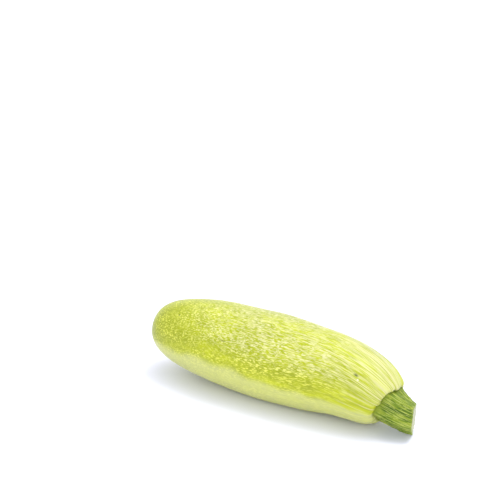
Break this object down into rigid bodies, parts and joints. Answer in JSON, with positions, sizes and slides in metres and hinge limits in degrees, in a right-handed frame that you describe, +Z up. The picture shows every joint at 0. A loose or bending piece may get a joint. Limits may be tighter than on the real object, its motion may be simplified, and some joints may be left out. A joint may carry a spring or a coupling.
{
  "type": "courgette",
  "caption": "Whole pale-green courgette with a blunt blossom end, a rounded shoulder and a short five-sided cut stem, lying on its belly.",
  "frame": {"origin": "middle of the bounding box at its base, on the surface the courgette lies on", "axes": "+Z up; +X along the fruit from the blossom end to the stem; the stem end swings slightly towards -Y"},
  "size_m": [0.1724, 0.0498, 0.0494],
  "materials": {
    "skin": "satin, waxy pale-green skin with fine pale flecks and streaks",
    "stem": "matte, ribbed and finely fibrous mid-green stem with a pale cut end"
  },
  "bodies": {
    "root": {"fruit": "skin", "stem": "stem"}
  },
  "joints": []
}
